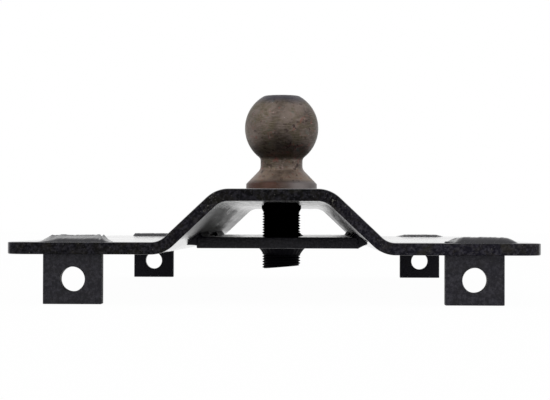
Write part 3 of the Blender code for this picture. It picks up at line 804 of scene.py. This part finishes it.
def steel_material():
    """Bare forged steel of the ball: a brown oxide film, rust blooms, dark pits, lathe marks, painted
    highlight flecks, and a band of painted shade round the top.

    Heights and distances across are in metres, as the object's coordinates are.
    """
    material = bpy.data.materials.new("weathered bare steel")
    material.use_nodes = True
    nodes = Nodes(material.node_tree)
    shader = material.node_tree.nodes["Principled BSDF"]
    place = nodes.place()
    parts = nodes.add("ShaderNodeSeparateXYZ", {"Vector": place})
    across, height = parts.outputs["X"], parts.outputs["Z"]
    broad = nodes.noise(place, 34.0, 4.0, 0.6, 0.4)
    medium = nodes.noise(place, 95.0, 5.0, 0.62, 0.6)
    fine = nodes.noise(place, 420.0, 4.0, 0.6)
    rings = nodes.noise(nodes.place((1.0, 1.0, 9.0)), 190.0, 3.0, 0.55)

    colour = nodes.mix(nodes.ramp(broad, 0.41, 0.59), OXIDE_DARK, OXIDE_LIGHT)
    colour = nodes.mix(nodes.ramp(medium, 0.46, 0.62, 0.0, 0.65), colour, OXIDE_OLIVE)
    neck = nodes.band(height, (0.0945, 0.0965), (0.1050, 0.1030))
    colour = nodes.mix(nodes.math("MULTIPLY", neck, 0.45), colour, NECK_BROWN)
    cone = nodes.band(height, (0.0845, 0.0865), (0.0965, 0.0935))
    cone = nodes.math("MULTIPLY", cone, nodes.ramp(medium, 0.4, 0.6, 0.3, 0.75))
    colour = nodes.mix(cone, colour, CONE_TAN)
    colour = nodes.mix(nodes.ramp(rings, 0.48, 0.70, 0.0, 0.6), colour, LATHE_GREY)
    rust = nodes.noise(place, 150.0, 4.0, 0.65, 1.2)
    colour = nodes.mix(nodes.ramp(rust, 0.58, 0.68, 0.0, 0.8), colour, RUST_RED)
    bloom = nodes.noise(place, 210.0, 3.0, 0.6, 0.8)
    colour = nodes.mix(nodes.ramp(bloom, 0.62, 0.72, 0.0, 0.7), colour, BLOOM_GREEN)
    colour = nodes.mix(nodes.ramp(bloom, 0.36, 0.28, 0.0, 0.8), colour, BLOOM_PINK)
    cluster = nodes.ramp(nodes.noise(place, 60.0, 2.0, 0.5), 0.42, 0.60)
    pits = nodes.noise(place, 300.0, 3.0, 0.55)
    dark = nodes.math("MULTIPLY", nodes.ramp(pits, 0.55, 0.65, 0.0, 0.85), cluster)
    colour = nodes.mix(dark, colour, PIT_DARK)
    # Painted highlights: small light flecks that stand in for glints of light on the steel
    painted_glints = nodes.ramp(nodes.noise(place, 520.0, 2.0, 0.5), 0.74, 0.80, 0.0, 0.8)
    colour = nodes.mix(painted_glints, colour, PAINTED_GLINT)
    # Painted shade: a dark bluish band round the top of the ball, with a wavering lower edge
    wavering = nodes.math("ADD", height, nodes.ramp(broad, 0.3, 0.7, -0.0016, 0.0016))
    cap = nodes.math("MULTIPLY", nodes.ramp(wavering, 0.1468, 0.1515), 0.82)
    colour = nodes.mix(cap, colour, CAP_PAINTED_SHADE)
    flange = nodes.ramp(height, 0.0868, 0.0838)
    flange = nodes.math("MULTIPLY", flange, nodes.ramp(broad, 0.30, 0.52, 0.45, 1.0))
    flange_tone = nodes.mix(nodes.ramp(across, -0.004, 0.012), FLANGE_RED, FLANGE_GREY)
    colour = nodes.mix(nodes.math("MULTIPLY", flange, 0.85), colour, flange_tone)

    relief = nodes.math("ADD", nodes.math("MULTIPLY", fine, 0.35), nodes.math("MULTIPLY", rings, 0.8))
    relief = nodes.math("SUBTRACT", relief, nodes.ramp(pits, 0.66, 0.76, 0.0, 1.2))
    bump = nodes.add("ShaderNodeBump", {"Height": relief, "Strength": 1.0, "Distance": 0.00022})
    nodes.feed(shader.inputs["Base Color"], colour)
    nodes.feed(shader.inputs["Roughness"], nodes.ramp(medium, 0.3, 0.7, 0.36, 0.56))
    nodes.feed(shader.inputs["Metallic"], nodes.ramp(rust, 0.60, 0.74, 0.92, 0.45))
    nodes.feed(shader.inputs["Normal"], bump.outputs["Normal"])
    return material


# Floor, light and camera


def seen_directly(nodes):
    """1 for rays from the camera, in reflections and through glass, and otherwise 0."""
    path = nodes.add("ShaderNodeLightPath")
    seen = nodes.math("MAXIMUM", path.outputs["Is Camera Ray"], path.outputs["Is Glossy Ray"])
    return nodes.math("MAXIMUM", seen, path.outputs["Is Transmission Ray"])


def build_floor():
    """A pale floor, white to the camera and in reflections, that still takes the object's soft shadow."""
    mesh = bpy.data.meshes.new("studio_floor")
    mesh.from_pydata([(x, y, -FLOOR_DROP) for x, y in FLOOR_CORNERS], [], [(0, 1, 2, 3)])
    floor = bpy.data.objects.new("studio_floor", mesh)
    bpy.context.scene.collection.objects.link(floor)
    material = bpy.data.materials.new("pale floor")
    material.use_nodes = True
    nodes = Nodes(material.node_tree)
    material.node_tree.nodes.remove(material.node_tree.nodes["Principled BSDF"])
    paint = nodes.add("ShaderNodeBsdfDiffuse", {"Color": (0.9, 0.9, 0.9, 1.0)})
    glow = nodes.add("ShaderNodeEmission", {"Color": (1.0, 1.0, 1.0, 1.0), "Strength": 1.0})
    share = nodes.math("MULTIPLY", seen_directly(nodes), FLOOR_GLOW)
    mixed = nodes.add("ShaderNodeMixShader", {0: share, 1: paint.outputs[0], 2: glow.outputs[0]})
    nodes.feed(material.node_tree.nodes["Material Output"].inputs["Surface"], mixed.outputs[0])
    floor.data.materials.append(material)


def build_world():
    """White surroundings that are dimmer as a light than as a background."""
    world = bpy.data.worlds.new("studio")
    bpy.context.scene.world = world
    world.use_nodes = True
    nodes = Nodes(world.node_tree)
    background = world.node_tree.nodes["Background"]
    background.inputs["Color"].default_value = (1.0, 1.0, 1.0, 1.0)
    nodes.feed(background.inputs["Strength"], nodes.ramp(seen_directly(nodes), 0.0, 1.0, WORLD_LIGHT, 1.0))


def add_lamp(name, place, size, power):
    """A rectangular lamp that faces the target."""
    data = bpy.data.lights.new(name, "AREA")
    data.shape = "RECTANGLE"
    data.size, data.size_y = size
    data.energy = power
    lamp = bpy.data.objects.new(name, data)
    aim = np.array(LAMP_TARGET) - np.array(place)
    aim = aim / np.linalg.norm(aim)
    side = np.cross(aim, (0.0, 0.0, 1.0))
    side = side / np.linalg.norm(side)
    up = np.cross(side, aim)
    turn = Matrix([[side[i], up[i], -aim[i], place[i]] for i in range(3)] + [[0.0, 0.0, 0.0, 1.0]])
    lamp.matrix_world = turn
    bpy.context.scene.collection.objects.link(lamp)


def build_camera():
    """The camera stands low before the near end, a little to the right, and looks slightly up and left."""
    data = bpy.data.cameras.new("camera")
    data.sensor_width = 36.0
    data.lens = CAMERA_LENS
    data.clip_start = 0.01
    data.clip_end = 60.0
    camera = bpy.data.objects.new("camera", data)
    pan = Matrix.Rotation(math.radians(CAMERA_PAN), 4, "Z")
    tilt = Matrix.Rotation(math.radians(CAMERA_TILT), 4, "X")
    roll = Matrix.Rotation(math.radians(CAMERA_ROLL), 4, "Z")
    camera.matrix_world = Matrix.Translation(CAMERA_PLACE) @ (pan @ tilt @ roll)
    bpy.context.scene.collection.objects.link(camera)
    bpy.context.scene.camera = camera


def finish_piece(obj, material, end_material=None):
    """Gives a piece its material, and a second one to the faces that look along Y."""
    obj.data.materials.clear()
    obj.data.materials.append(material)
    if end_material is not None:
        obj.data.materials.append(end_material)
        normals = np.empty(3 * len(obj.data.polygons))
        obj.data.polygons.foreach_get("normal", normals)
        cut = np.abs(normals.reshape(-1, 3)[:, 1]) > END_FACING
        obj.data.polygons.foreach_set("material_index", cut.astype(np.int32))
    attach(obj, "root")


group = coat_group()
face_coat = coat_material(
    "black coat on rolled faces",
    group,
    relief=0.00002,
    specular=0.5,
    softer=0.24,
    Speckle=0.1,
    Dust=0.2,
    Mottle=0.1,
    Sheen=0.05,
    Slopes=1.0,
)
edge_coat = coat_material(
    "black coat on cut edges",
    group,
    relief=0.00040,
    specular=0.035,
    Speckle=1.0,
    Dust=1.2,
    Mottle=0.5,
    Sheen=0.42,
    Fineness=480.0,
    Lean=1.0,
)
# Painted light: a lighter, glossier copy of the coat for the front bars, also put on the lower plate's ends
# to lighten them where they stand in shade
lit_bar_coat = coat_material(
    "black coat with painted light on the front bars",
    group,
    relief=0.00030,
    specular=0.19,
    Speckle=0.75,
    Dust=0.5,
    Mottle=0.1,
    Sheen=0.34,
    Fineness=480.0,
    Lean=0.4,
)
# Painted shade: a darker, duller copy of the front bars' coat, with fewer light flecks, for the rear bars
# that stand in shade under the plate
shaded_rear_coat = coat_material(
    "black coat with painted shade on the rear bars",
    group,
    relief=0.00020,
    specular=0.09,
    Speckle=0.3,
    Dust=0.3,
    Mottle=0.1,
    Sheen=0.38,
)
# Painted shade: a darker, duller copy of the weld coat for the welds sheltered inside the hat
shaded_inner_coat = coat_material(
    "black coat with painted shade inside the hat",
    group,
    relief=0.00015,
    specular=0.12,
    Speckle=0.2,
    Dust=0.2,
    Mottle=0.1,
    Sheen=0.40,
)
# Painted shade: the coat darkened to near-black, without flecks and nearly without gloss, for the shank and
# its welds that stand in shade under the crown
shaded_shank_coat = coat_material(
    "black coat with painted shade on the shank",
    group,
    relief=0.00010,
    specular=0.03,
    Speckle=0.0,
    Dust=0.0,
    Mottle=0.0,
    Sheen=0.50,
    Depth=0.5,
)
weld_coat = coat_material(
    "black coat on welds",
    group,
    relief=0.00006,
    specular=0.5,
    Speckle=0.3,
    Dust=0.4,
    Mottle=0.1,
    Sheen=0.17,
)
steel = steel_material()

plate = build_plate()
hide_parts("main_plate")
finish_piece(plate, face_coat, edge_coat)
for leg in build_legs():
    # The front bars' ends take the lit copy and the rear bars' ends the shaded copy: painted light and shade
    finish_piece(leg, edge_coat, lit_bar_coat if "front" in leg.name else shaded_rear_coat)
lower_plate = build_cross_plate()
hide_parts("cross_plate")
# The lower plate's ends take the lit copy of the front bars' coat: painted light over their shade
finish_piece(lower_plate, face_coat, lit_bar_coat)
ball = build_ball()
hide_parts("hitch_ball")
finish_piece(ball, steel)
shank = build_shank()
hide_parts("hitch_ball")
finish_piece(shank, shaded_shank_coat)
for weld in build_welds():
    # The pads take the weld coat, and the sheltered welds its darker copy with painted shade
    finish_piece(weld, weld_coat if weld.name.startswith("pad") else shaded_inner_coat)
# The welds round the shank share its coat with painted shade
for weld in build_shank_runs():
    finish_piece(weld, shaded_shank_coat)

build_floor()
build_world()
add_lamp("key", (-1.3, -1.6, 1.9), (2.4, 2.0), 13.0)
add_lamp("fill", (1.9, -1.2, 1.2), (2.0, 2.0), 8.0)
build_camera()
scene = bpy.context.scene
scene.view_settings.view_transform = "Standard"
